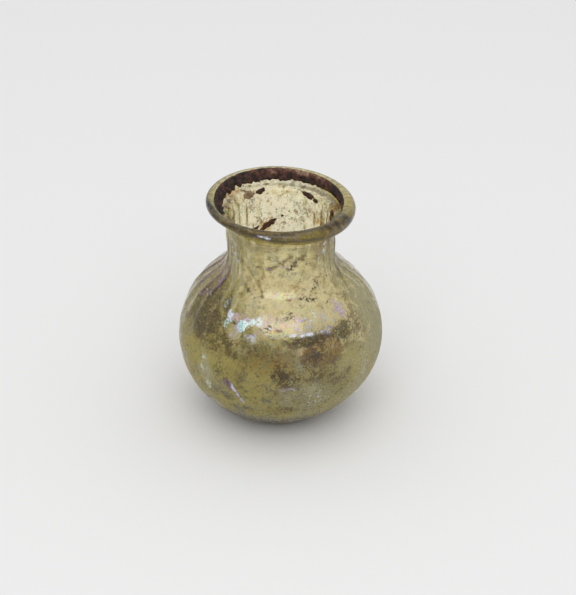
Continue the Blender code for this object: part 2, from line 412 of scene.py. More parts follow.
DARK_SPOTS = [
    (282, 56.7, 2.3, 0.7, 14, 0.85),
    (287.5, 57.6, 1, 0.4, 30, 0.6),
    (298, 57.4, 1.2, 0.7, 0, 0.6),
    (285, 54.2, 0.5, 0.4, 0, 0.9),
    (290, 51.8, 0.4, 0.8, 0, 0.8),
    (308, 51, 1.6, 1.2, 0, 0.45),
    (290, 47.7, 1.4, 0.5, 10, 0.7),
    (298, 46.9, 2.6, 0.45, -8, 0.8),
    (303, 49, 1.6, 0.5, 30, 0.6),
    (310, 45.6, 1.2, 0.6, 0, 0.5),
    (277, 44.3, 2, 1.1, 0, 0.6),
    (272, 43.6, 1.2, 0.6, 0, 0.55),
    (237.6, 48.9, 1, 0.7, 20, 0.7),
    (261.8, 41.9, 1.4, 0.7, 8, 0.62),
    (224.5, 44.6, 1, 1, 0, 0.5),
    (246, 47.3, 0.5, 0.6, 0, 0.6),
    (259, 41.2, 3, 0.8, 0, 0.55),
    (287, 38.6, 7.5, 0.7, 0, 0.55),
    (303, 38.8, 3, 1, 10, 0.6),
    (313, 38.4, 2.6, 1, 0, 0.6),
    (293, 33, 2, 1.2, 0, 0.5),
    (219, 41, 2.6, 1.6, 0, 0.5),
    (239, 36.6, 1, 1.6, 0, 0.6),
    (243, 33, 0.9, 0.7, 0, 0.7),
    (239.6, 24.2, 2.4, 0.9, -32, 0.6),
    (215, 12, 2.2, 0.5, 20, 0.6),
]
# The iridescent film, with the hue of each patch after its strength: 0.05 blue-green, 0.28 silver,
# 0.5 violet, 0.72 rose, 0.95 gold. The patches in the band round the shoulders, at about 38 to 44 mm,
# also stand for the light reflected there, so they are partly a painted reflection.
PEARL_AND_REFLECTION_PATCHES = [
    (246, 41.6, 9, 3.4, 0, 0.45, 0.42),
    (251.6, 42.5, 3.8, 1.2, 14, 0.95, 0.24),
    (243.4, 41.2, 1.7, 1.9, 20, 0.9, 0.1),
    (232.4, 43.2, 1.2, 1.6, 20, 0.85, 0.3),
    (232.6, 41, 1.8, 1.6, 0, 0.62, 0.1),
    (225, 44.6, 1.4, 1.4, 0, 0.5, 0.1),
    (238, 42.7, 2, 1.4, 0, 0.75, 0.72),
    (245.4, 43.1, 2, 0.7, 0, 0.6, 0.68),
    (262, 41.9, 1.8, 0.9, 8, 0.5, 0.12),
    (239.5, 39.2, 2.6, 2.2, 0, 0.62, 0.62),
    (250, 38.6, 3.4, 1.5, -12, 0.66, 0.34),
    (258, 69.9, 2.4, 0.4, -8, 0.8, 0.3),
    (292, 42.2, 12, 3.2, 0, 0.45, 0.35),
    (283, 43.3, 1.6, 1.6, 0, 0.6, 0.62),
    (294, 43.6, 3, 1.4, 0, 0.5, 0.28),
    (286, 39.6, 8, 0.6, 0, 0.75, 0.3),
    (301, 39.6, 3, 0.8, 0, 0.6, 0.4),
    (317, 43.4, 2.4, 3.4, 12, 0.7, 0.62),
    (264, 56.8, 5.5, 0.5, 8, 0.6, 0.62),
    (222, 28, 2, 5.5, 10, 0.5, 0.2),
    (225.5, 20, 2.2, 4.5, 12, 0.5, 0.14),
    (221, 12, 5, 4, 0, 0.5, 0.4),
    (245, 20.6, 0.8, 4.4, 29, 0.9, 0.46),
    (242.4, 23.4, 0.5, 1.8, 29, 0.9, 0.3),
    (276, 24, 5, 1.6, 0, 0.45, 0.34),
    (290, 20, 8, 3, 0, 0.42, 0.2),
    (324, 60.1, 2.4, 3, 0, 0.5, 0.2),
    (214, 58, 3, 5, 0, 0.45, 0.25),
    (190, 46, 10, 8, 0, 0.4, 0.68),
]
INNER_TAIL = [(12, 65.8, 1.6, 2.6, 0, 1)]  # a brown tail of the crust, on the inside of the neck
MAUVE_SHOULDERS = [
    (185, 47, 11, 6.5, 0, 1),
    (190, 38, 6, 6, 0, 0.35),
    (3, 50, 6, 5, 0, 0.5),
    (240.5, 23.4, 3.2, 1.8, -32, 0.75),
    (239.5, 39.2, 2, 1.8, 0, 0.5),
]


# Lines on the glass: a half width in mm, a strength, and a course as azimuth in degrees and height in mm.
# The creases are dark marks that the tool left in the soft glass.
CREASES = [
    (0.45, 1, ((244.6, 56.2), (253.4, 55.6), (264, 56.9), (273.4, 58.8), (281.6, 60.4))),
    (0.35, 0.8, ((282, 57.6), (290, 59), (298, 60.6))),
    (0.32, 1, ((237.3, 53.8), (244.2, 51.7), (249.6, 49.9), (254, 47.9))),
    (0.28, 0.8, ((224.7, 56.2), (234.3, 55.2), (237.3, 53.8))),
    (0.60, 0.5, ((231.1, 51.5), (232.6, 49.5), (233.6, 47.6))),
    (0.22, 1, ((234.4, 43.4), (233.3, 41.7), (235.1, 41.1), (242, 42.1), (245.7, 41.9))),
    (0.25, 0.6, ((228, 41.5), (233, 38.5), (239, 35), (240, 33))),
    (0.40, 0.8, ((250, 70.2), (262, 69.4), (273, 68.5))),
    (0.55, 0.9, ((356.4, 56), (354.5, 52.2), (346.6, 48.3), (338.9, 45.8), (336.7, 44.8))),
]
# The folds are pale raised ridges that run from the neck over the shoulders.
FOLDS = [
    (0.55, 1, ((198.6, 62.9), (208.3, 62.2), (213.8, 60.1), (217.6, 58.7), (216, 56.8))),
    (0.55, 1, ((211, 54.7), (210.7, 51.5), (213.6, 50.5), (218.4, 48.7), (219.7, 46.4), (220, 44.7),
               (224.6, 42.8))),
    (0.32, 1, ((224.6, 42.8), (230.2, 40.1))),
    (0.50, 0.8, ((224, 54.1), (224.4, 51.8), (228.9, 50), (224.5, 48.5), (226.9, 47.2), (231.6, 44.7))),
    (0.60, 0.8, ((182.6, 54.8), (193.2, 51.5), (196.7, 49.6), (203, 47.9), (204.8, 46.2), (203.9, 44.9))),
    (0.50, 0.6, ((236, 61), (235, 58), (238, 55.8), (240, 54))),
    (0.45, 0.7, ((340.9, 60.1), (344.3, 54.5), (341.8, 50.6), (330.7, 47.8))),
    (0.40, 0.8, ((9.9, 48.5), (3.2, 47.3), (359.4, 46.3), (3, 44.9))),
]


# The patches that work on the outside, beside those of the film
PATCHES = {
    "window": CLEAR_WINDOW,
    "clouds": DARK_CLOUDS,
    "grey": GREY_CLOUDS,
    "gold": GOLD_CLOUDS,
    "speckled": SPECKLED,
    "spots": DARK_SPOTS,
    "mauve": MAUVE_SHOULDERS,
}

# What each vertex colour layer of the glass holds, in its red, green and blue
LAYERS = {
    "wear": ("haze", "stain", "scale"),
    "tone": ("gold", "pearl", "hue"),
    "film": ("olive", "mauve", "grey"),
}

# How much each cause adds to each kind of weathering, on the outside and on the inside of the glass. Some
# causes also paint light and shade: low and low_front paint shade at the base, ribs and sides a highlight on
# the ribs and shade in the flutes, and ledge a highlight on the ledge's edge.
OUTSIDE = {
    "olive": dict(
        all=0.02, worn=0.36, patchy=0.5, left=0.6, clouds=0.9, grey=-0.5, belly=0.22, low_front=0.9,
        throat=0.3, sides=1.152, ribs=-1.6, streak=0.4, fold=-0.8, crease=0.6, lip=0.3, rim=0.65,
        rim_back=-0.52, lengthwise=0.3,
    ),
    "stain": dict(
        all=0.15, worn=0.2, drift=0.36, window=-0.2, clouds=0.6, speckled=0.4, belly=-0.2, low=0.7,
        back=-0.15, sides=-0.2, fold=-0.5, crease=0.8, lengthwise=0.35,
    ),
    "haze": dict(
        all=0.06, worn=0.22, patchy=0.25, worn_right=0.2, high_clouds=-0.6, grey=0.5, mauve=0.3,
        belly=0.75, belly_drift=1.0, low=0.35, throat=0.15, ribs=1.0, streak=0.45, fold=0.9, rim=0.05,
        rim_front=0.2,
    ),
    "grey": dict(grey=0.7, grey_drift=1.3, right=0.35, sides=0.5, fold=1.0),
    "gold": dict(gold=1.0, worn_front=0.2, lengthwise=0.2),
    "scale": dict(spots=1.0, low_front=0.34),
    "pearl": dict(worn=0.14, rim=0.1),
    "mauve": dict(striped=1.0, crease_front=0.6, rim_front=0.45),
}
INSIDE = {
    "olive": dict(body=0.06, drift=0.1, ledge=0.3),
    "stain": dict(all=0.36, drift=0.5, body=-0.25, front=-0.2, tail=0.3),
    "haze": dict(all=0.04, ledge=1.3, tail=0.7),
    "gold": dict(neck=0.12, neck_cloud=1.1, tail=1.0),
    "mauve": dict(ledge=0.5),
}


def dab(patches, azimuth, height, radius):
    """How strongly the named patches cover a place, from 0 to 1."""
    most = 0.0
    for centre, level, half_width, half_height, turn, strength in patches:
        up = height / MM - level
        if abs(up) > 1.25 * max(half_width, half_height):
            continue
        across = math.radians(around(azimuth, centre)) * radius / MM
        c, s = math.cos(math.radians(turn)), math.sin(math.radians(turn))
        reach = math.hypot((across * c + up * s) / half_width, (up * c - across * s) / half_height)
        most = max(most, strength * (1.0 - smooth_step(reach, 0.55, 1.25)))
    return most


def traced(lines, azimuth, height, radius):
    """How strongly the named lines mark a place, from 0 to 1."""
    most = 0.0
    mm_per_degree = math.radians(radius) / MM
    level = height / MM
    for half_width, strength, course in lines:
        heights = [up for _, up in course]
        if not min(heights) - 2.0 < level < max(heights) + 2.0:
            continue
        if abs(around(azimuth, course[len(course) // 2][0])) > 35.0:
            continue
        for (az0, up0), (az1, up1) in zip(course, course[1:]):
            start = Vector((around(az0, azimuth) * mm_per_degree, up0 - level))
            end = Vector((around(az1, azimuth) * mm_per_degree, up1 - level))
            near, share = geometry.intersect_point_line((0.0, 0.0), start, end)
            near = start if share < 0 else end if share > 1 else near
            off = Vector(near[:2]).length
            most = max(most, strength * (1.0 - smooth_step(off, 0.0, 2.0 * half_width)))
    return most


def make_object(name, bm, material):
    """Links a bmesh at the origin, as a smooth object."""
    mesh = bpy.data.meshes.new(name)
    bm.to_mesh(mesh)
    bm.free()
    mesh.shade_smooth()
    mesh.materials.append(material)
    made = bpy.data.objects.new(name, mesh)
    bpy.context.scene.collection.objects.link(made)
    return made


def spun(bm, chain, columns, turn=TURN):
    """Spins a chain of (radius, height) points about Z. Each vertex keeps its place in the chain."""
    place = bm.verts.layers.int.new("place")
    verts = []
    for i, (radius, height) in enumerate(chain):
        vert = bm.verts.new((radius, 0.0, height))
        vert[place] = i
        verts.append(vert)
    edges = [bm.edges.new(pair) for pair in zip(verts, verts[1:])]
    middle, up = (0.0, 0.0, 0.0), (0.0, 0.0, 1.0)
    whole = turn == TURN
    bmesh.ops.spin(bm, geom=verts + edges, cent=middle, axis=up, angle=turn, steps=columns, use_merge=whole)
    return place


def node(tree, kind, inputs=None, **settings):
    """Adds a shader node with its inputs, each a value or a socket. It gives the first output."""
    made = tree.nodes.new("ShaderNode" + kind)
    for key, value in settings.items():
        setattr(made, key, value)
    for key, value in (inputs or {}).items():
        live = [i for i in made.inputs if i.enabled and i.name == key]
        socket = made.inputs[key] if isinstance(key, int) else live[0]
        if isinstance(value, bpy.types.NodeSocket):
            tree.links.new(value, socket)
        else:
            socket.default_value = value
    return next((o for o in made.outputs if o.enabled), None)


def new_material(name):
    """An empty node material, and the function that adds nodes to it."""
    material = bpy.data.materials.new(name)
    material.use_nodes = True
    material.node_tree.nodes.clear()
    return material, partial(node, material.node_tree)


def weathered_glass_material(c):
    """Aged blown soda-lime glass, pale straw to olive.

    The eye sees through it to the far wall and the floor, past olive and golden-brown stains, a thin
    dull film, brown-black scale, and a flaking layer that plays from silver to blue-green and rose; round
    the shoulders that layer is partly a painted reflection.
    """
    material, add = new_material("Weathered_Soda_Lime_Glass")
    place = add("TexCoord").node.outputs["Object"]
    painted = {}
    for layer, names in LAYERS.items():
        colours = add("Attribute", attribute_name=layer).node.outputs["Color"]
        parts = add("SeparateColor", {"Color": colours}).node.outputs
        painted.update(zip(names, parts))

    # Lumps of the weathering, from 5 mm clouds to grit at the limit of sight
    patterns = {}
    for name, size, detail, rough in (
        ("cloud", 5.0, 5.0, 0.62),
        ("mottle", 1.9, 6.0, 0.7),
        ("grit", 0.55, 3.0, 0.6),
        ("vein", 3.2, 4.0, 0.55),
    ):
        inputs = {"Vector": place, "Scale": 1.0 / (size * MM), "Detail": detail, "Roughness": rough}
        patterns[name] = add("TexNoise", inputs)

    # A painted amount and a pattern become a mask: the pattern decides where the amount breaks through
    masks = {}
    for name, amount, pattern, play, low, high in (
        ("olive", "olive", "mottle", 1.6, 0.0, 1.0),
        ("gold", "gold", "mottle", 2.2, 0.3, 0.9),
        ("stain", "stain", "mottle", 4.0, 0.62, 0.86),
        ("fleck", "stain", "grit", 4.0, 0.72, 0.96),
        ("bloom", "grey", "grit", 3.0, 0.35, 0.9),
        ("haze", "haze", "mottle", 3.4, 0.2, 1.05),
        ("scale", "scale", "grit", 3.0, 0.42, 0.72),
        ("pearl", "pearl", "mottle", 4.2, 0.4, 0.9),
        ("glint", "pearl", "grit", 2.0, 0.2, 0.8),
        ("mauve", "mauve", "mottle", 1.4, 0.2, 0.9),
    ):
        level = add("Math", {0: patterns[pattern], 1: 0.5}, operation="SUBTRACT")
        level = add("Math", {0: level, 1: play, 2: painted[amount]}, operation="MULTIPLY_ADD")
        inputs = {"Value": level, "From Min": low, "From Max": high}
        masks[name] = add("MapRange", inputs, interpolation_type="SMOOTHSTEP")
    off = add("Math", {0: patterns["vein"], 1: 0.5}, operation="SUBTRACT")
    off = add("Math", {0: off}, operation="ABSOLUTE")
    inputs = {"Value": off, "From Min": 0.002, "From Max": 0.010, "To Min": 1.6, "To Max": 0.0}
    line = add("MapRange", inputs)
    masks["vein"] = add("Math", {0: line, 1: painted["stain"]}, operation="MULTIPLY")

    # Each stain filters the light that the glass lets through
    tint = c.clear_glass
    for name, over, strength in (
        ("olive", c.olive_stain, 1.0),
        ("gold", c.gold_stain, 0.9),
        ("stain", c.brown_stain, 0.7),
        ("fleck", c.speck, 0.8),
        ("vein", c.speck, 0.8),
        ("mauve", c.mauve_stain, 0.8),
    ):
        amount = add("Math", {0: masks[name], 1: strength}, operation="MULTIPLY", use_clamp=True)
        inputs = {"Factor": amount, "A": tint, "B": over}
        tint = add("Mix", inputs, data_type="RGBA", blend_type="MULTIPLY")
    wave = add("Bump", {"Strength": 0.35, "Distance": 0.25 * MM, "Height": patterns["mottle"]})
    inputs = {"Strength": 0.6, "Distance": 0.2 * MM, "Height": patterns["grit"], "Normal": wave}
    crumb = add("Bump", inputs)
    frost = add("MapRange", {"Value": masks["haze"], "To Min": 0.03, "To Max": 0.22})
    inputs = {"Value": patterns["cloud"], "From Min": 0.3, "From Max": 0.7, "To Min": 220.0, "To Max": 560.0}
    film = add("MapRange", inputs)  # its thickness in nanometres
    bare = add("Math", {0: 1.0, 1: painted["olive"]}, operation="SUBTRACT", use_clamp=True)
    film = add("Math", {0: film, 1: bare}, operation="MULTIPLY")
    inputs = {"Base Color": tint, "Roughness": frost, "IOR": 1.52, "Transmission Weight": 1.0, "Normal": wave}
    inputs.update({"Thin Film Thickness": film, "Thin Film IOR": 1.65})
    clear = add("BsdfPrincipled", inputs)

    # The dull film over it takes the stains' colours, and opaque scale covers both
    dust = c.haze_pale
    for factor, over in (
        (masks["olive"], c.haze),
        (masks["gold"], c.haze_gold),
        (masks["stain"], c.brown_stain),
        (masks["fleck"], c.speck),
        (painted["grey"], c.haze_pale),
        (masks["bloom"], c.haze_pale),
        (masks["mauve"], c.mauve_stain),
    ):
        dust = add("Mix", {"Factor": factor, "A": dust, "B": over}, data_type="RGBA")
    warm = add("Mix", {"Factor": patterns["grit"], "A": c.scale, "B": c.scale_warm}, data_type="RGBA")
    dust = add("Mix", {"Factor": masks["scale"], "A": dust, "B": warm}, data_type="RGBA")
    flat = add("BsdfPrincipled", {"Base Color": dust, "Roughness": 0.55, "Normal": crumb})
    glow = add("BsdfTranslucent", {"Color": dust})
    thin = add("Math", {0: masks["scale"], 1: -0.5, 2: 0.5}, operation="MULTIPLY_ADD")
    dull = add("MixShader", {0: thin, 1: flat, 2: glow})
    veil = add("Math", {0: masks["haze"], 1: 0.75}, operation="MULTIPLY")
    veil = add("Math", {0: masks["bloom"], 1: 0.3, 2: veil}, operation="MULTIPLY_ADD")
    cover = add("Math", {0: veil, 1: masks["scale"]}, operation="MAXIMUM")
    worn = add("MixShader", {0: cover, 1: clear, 2: dull})

    # The flaking film plays through its colours with its thickness. Round the shoulders it is partly a
    # painted reflection.
    phase = add("Math", {0: patterns["grit"], 1: 0.5}, operation="SUBTRACT")
    phase = add("Math", {0: phase, 1: 1.5, 2: painted["hue"]}, operation="MULTIPLY_ADD")
    play = add("ValToRGB", {"Fac": phase})
    stops = play.node.color_ramp.elements
    stops[0].position, stops[0].color = 0.05, c.film_blue
    stops[1].position, stops[1].color = 0.95, c.film_gold
    for position, shade in ((0.28, c.film_white), (0.5, c.film_violet), (0.72, c.film_rose)):
        stops.new(position).color = shade
    inputs = {"Base Color": play, "Metallic": 0.6, "Roughness": 0.32, "Normal": crumb}
    sheen = add("BsdfPrincipled", inputs)
    flakes_and_reflection = add("Math", {0: masks["pearl"], 1: masks["glint"]}, operation="MULTIPLY")
    whole = add("MixShader", {0: flakes_and_reflection, 1: worn, 2: sheen})
    # At this density, given per metre, 1 mm of glass takes up to a fifth of a colour away
    depth = add("VolumeAbsorption", {"Color": c.body_tint, "Density": 210.0})
    add("OutputMaterial", {"Surface": whole, "Volume": depth})
    return material


def earth_crust_material(c):
    """Dried earth and iron crust: matt and crumbly, brown-black with rusty and pale crumbs."""
    material, add = new_material("Dried_Earth_Crust")
    place = add("TexCoord").node.outputs["Object"]
    inputs = {"Vector": place, "Scale": 1 / (2.4 * MM), "Detail": 7.0, "Roughness": 0.72}
    coarse = add("TexNoise", inputs)
    # The painted attribute lightens the crust towards its upper edge at the back: partly drier earth, partly
    # painted light. On the clots it sets how dry and golden each one is.
    lit = add("Attribute", attribute_name="dryness_and_light").node.outputs["Fac"]
    dry = add("Math", {0: lit, 1: 0.16, 2: coarse}, operation="MULTIPLY_ADD")
    fine = add("TexNoise", {"Vector": place, "Scale": 1 / (0.4 * MM), "Detail": 3.0})
    crumbs = add("ValToRGB", {"Fac": dry})
    stops = crumbs.node.color_ramp.elements
    stops[0].position, stops[0].color = 0.46, c.crust
    stops[1].position, stops[1].color = 0.8, c.crust_pale
    stops.new(0.62).color = c.crust_rust
    bumped = add("Bump", {"Strength": 0.8, "Distance": 0.2 * MM, "Height": fine})
    earth = add("BsdfPrincipled", {"Base Color": crumbs, "Roughness": 0.8, "Normal": bumped})
    add("OutputMaterial", {"Surface": earth})
    return material


def floor_material(c):
    """Matt pale paper floor of a photo studio."""
    material, add = new_material("Matt_Paper_Sweep")
    paper = add("BsdfPrincipled", {"Base Color": c.floor, "Roughness": 0.9, "Specular IOR Level": 0.2})
    add("OutputMaterial", {"Surface": paper})
    return material


class MESH_OT_flask_glass(bpy.types.Operator):
    """Blow the flask: body, ribbed neck, flared mouth, rolled rim and pontil scar"""

    bl_idname = "mesh.flask_glass"
    bl_label = "Glass"

    columns_per_rib = 16
    smooth_below = math.radians(50.0)
    inner_ribs = 0.6
    fold_height = 0.0003
    scar_radius = 0.0046
    scar_width = 0.0011
    scar_height = 0.0007
    true_base = 0.004  # under this height, or this near the axis, the wall doesn't stray
    pitted_from = 0.002
    ledge_highlight_azimuth = math.radians(40.0)  # where the ledge is stained most and a pale band painted on its edge stands for its highlight

    def execute(self, context):
        scene = context.scene
        glass = Glass(scene.flask_sizes)
        columns = glass.s.rib_count * self.columns_per_rib
        bm = bmesh.new()
        outer = glass.outside(0.0)
        place = spun(bm, outer + glass.inside(0.0), columns)
        bmesh.ops.remove_doubles(bm, verts=bm.verts, dist=WELD)
        azimuths = [TURN * i / columns for i in range(columns)]
        sections = [glass.outside(a) + glass.inside(a) for a in azimuths]
        layers = {name: bm.verts.layers.float_color.new(name) for name in LAYERS}
        for vert in bm.verts:
            column = round(math.atan2(vert.co.y, vert.co.x) / TURN * columns) % columns
            azimuth = azimuths[column]
            radius, height = sections[column][vert[place]]
            outer_side = vert[place] < len(outer)
            ridge = rib_ridge(glass, azimuth, height)
            fold = traced(FOLDS, math.degrees(azimuth), height, radius) if outer_side else 0.0
            self.shape(glass, vert, azimuth, radius, height, ridge, fold, outer_side)
            # A pale grey-pink band is painted along the ledge's edge over some olive and mauve stain: a
            # painted highlight.
            off = abs(radius - glass.ledge_radius + 0.4 * MM)
            near = height < glass.ledge_height + 0.3 * MM
            ledge = 1.0 - smooth_step(off, 0.4 * MM, 0.8 * MM) if near else 0.0
            amounts = self.weather(glass, vert.co, azimuth, ridge, fold, ledge, outer_side)
            for name, layer in layers.items():
                vert[layer] = [min(max(amounts[key], 0.0), 1.0) for key in LAYERS[name]] + [1.0]
        bmesh.ops.recalc_face_normals(bm, faces=bm.faces)
        piece = make_object("glass_flask", bm, weathered_glass_material(scene.flask_colours))
        piece.data.set_sharp_from_angle(angle=self.smooth_below)
        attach(piece, BODY)
        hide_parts(NODE)
        return {"FINISHED"}

    def shape(self, glass, vert, azimuth, radius, height, ridge, fold, outer):
        """Moves a vertex from the true section to its worn, hand-made place."""
        depth = 1.0 if outer else self.inner_ribs
        radius += rib_wave(glass, azimuth, height, ridge) * depth + self.fold_height * fold
        if radius > self.true_base and self.true_base < height < glass.flare_foot:
            radius += wander(glass, azimuth, height)
        vert.co = glass.placed(radius, height, azimuth)
        if outer and self.pitted_from < height < glass.ledge_height:
            vert.co += pitting(glass, vert.co) * Vector((vert.co.x, vert.co.y, 0.0)).normalized()
        hollow = glass.s.resting_radius - glass.s.resting_width
        if outer and height < glass.s.kick_height and radius < hollow:
            vert.co.z = max(vert.co.z - self.scar(vert.co), 0.0)

    def scar(self, point):
        """How far the broken ring that the pontil left under the base stands out."""
        off = abs(math.hypot(point.x, point.y) - self.scar_radius)
        ring = 1.0 - smooth_step(off, 0.0, self.scar_width)
        torn = 0.55 + 0.9 * grain(point, 0.0022, 12.0) + 0.4 * grain(point, 0.0008, 2.0)
        return self.scar_height * ring * max(torn, 0.0)

    def weather(self, glass, point, azimuth, ridge, fold, ledge, outer):
        """How much of each kind of weathering there is at a point of the glass, with the painted light and
        shade that some causes add.
        """
        spot = (math.degrees(azimuth), point.z, math.hypot(point.x, point.y))
        cloud = grain(point, 0.009, 1.0)
        causes = {
            "all": 1.0,
            "drift": grain(point, 0.0045, 7.0),
            "body": 1.0 - smooth_step(point.z, glass.centre + 0.014, glass.neck_foot - 0.002),
            "front": bump(azimuth, FRONT, 2.0),
        }
        if outer:
            self.work_outside(glass, point, azimuth, spot, ridge, fold, cloud, causes)
        else:
            above = 1.0 - causes["body"]
            causes.update(neck=above, neck_cloud=cloud * above, tail=dab(INNER_TAIL, *spot))
            causes["ledge"] = ledge * bump(azimuth, self.ledge_highlight_azimuth, 3.0)
        made = dict.fromkeys((key for keys in LAYERS.values() for key in keys), 0.0)
        for key, shares in (OUTSIDE if outer else INSIDE).items():
            made[key] = sum(share * causes[cause] for cause, share in shares.items())
        made["hue"] = 0.5 + 0.9 * grain(point, 0.005, 4.0)
        for *patch, hue in PEARL_AND_REFLECTION_PATCHES if outer else ():
            shine = dab([patch], *spot)
            if shine > made["pearl"]:
                made.update(pearl=shine, hue=hue + 0.15 * grain(point, 0.0018, 4.0))
        return made

    def work_outside(self, glass, point, azimuth, spot, ridge, fold, cloud, causes):
        """Adds what works on a point of the outside: its height and side, patches, ribs and marks."""
        z = point.z
        body, front, drift = causes["body"], causes["front"], causes["drift"]
        cover = {name: dab(patches, *spot) for name, patches in PATCHES.items()}
        crease = traced(CREASES, *spot)
        back = bump(azimuth, BACK, 1.5)
        right = bump(azimuth, math.radians(345.0), 3.0)
        rim = smooth_step(z, glass.flare_foot + 0.002, glass.ledge_height)
        lip = smooth_step(z, glass.flare_foot - 0.004, glass.ledge_height)
        # Low on the base, olive and brown stain and scale are painted, most at the front, so the base darkens
        # towards its lower edge: painted shade for the dark edge of the thick base.
        low = 1.0 - smooth_step(z, 0.004, 0.011)
        belly = smooth_step(z, 0.007, 0.014) * (1.0 - smooth_step(z, 0.029, 0.037)) * (1.0 - back)
        worn = body * (1.0 - 0.9 * cover["window"]) * (1.0 - 0.7 * back) * (1.0 - 0.6 * low)
        upper = smooth_step(z, glass.centre + 0.008, glass.neck_foot) * (1.0 - rim)
        # On the sides of the neck and shoulders the flutes get olive and the ribs pale film instead: partly
        # worn film, partly a painted highlight on the ribs and painted shade in the flutes.
        sides = upper * (1.0 - bump(azimuth, FRONT, 6.0)) * (1.0 - back)
        flank = (1.0 - bump(azimuth, FRONT, 5.0)) * (1.0 - rim) * (1.0 - low)
        stripes = 1.0 - smooth_step(z, glass.centre, glass.centre + 0.01) * (0.65 - 0.95 * ridge)
        causes.update(cover, worn=worn, back=back, belly=belly, low=low, sides=sides, fold=fold, rim=rim)
        causes.update(crease=crease, crease_front=crease * front, rim_front=rim * front, rim_back=rim * back)
        causes.update(patchy=cloud * worn, worn_right=right * worn, worn_front=worn * front)
        causes.update(right=right * body, left=bump(azimuth, math.radians(205.0), 4.0) * body)
        causes.update(belly_drift=belly * drift, grey_drift=cover["grey"] * drift, ribs=sides * ridge)
        causes.update(low_front=low * (1.0 - back), lip=lip * (1.0 - back), striped=cover["mauve"] * stripes)
        causes["high_clouds"] = cover["clouds"] * (1.0 - belly)
        causes["throat"] = upper * front * smooth_step(z, 0.049, 0.055)
        causes["lengthwise"] = grain((0.06 * point.x, 0.06 * point.y, z), 0.0006, 6.0) * rim
        causes["streak"] = grain((point.x, point.y, 0.1 * z), 0.0014, 15.0) * flank


# Dried clots on the inside of the neck: azimuth in degrees, height, half length, half width and
# thickness in mm, the angle in degrees at which a clot rises to the right, seen through the mouth, and
# how dry and golden it is.
CLOTS = [
    (106, 54.4, 3, 0.8, 0.7, 34, 0.5),
    (100.5, 55.4, 1.1, 0.95, 0.8, 20, 0.5),
    (121, 53.6, 1.7, 0.8, 0.6, 40, 0.5),
    (127, 52.8, 1.2, 0.6, 0.5, -10, 0.5),
    (56, 65.6, 2.2, 0.8, 0.5, -15, 0.5),
    (46, 64.8, 0.9, 0.7, 0.4, 0, 0.5),
    (0, 65, 1.9, 1.3, 0.6, -60, 0.5),
    (114, 66, 1.4, 0.8, 0.5, 10, 0.5),
    (129, 65.8, 1.7, 1.2, 0.6, 0, 1.6),
    (88, 57.2, 0.35, 0.3, 0.2, 0, 0.5),
    (80, 58.9, 0.3, 0.2, 0.2, 0, 0.5),
    (95, 59.4, 0.25, 0.2, 0.2, 0, 0.5),
]


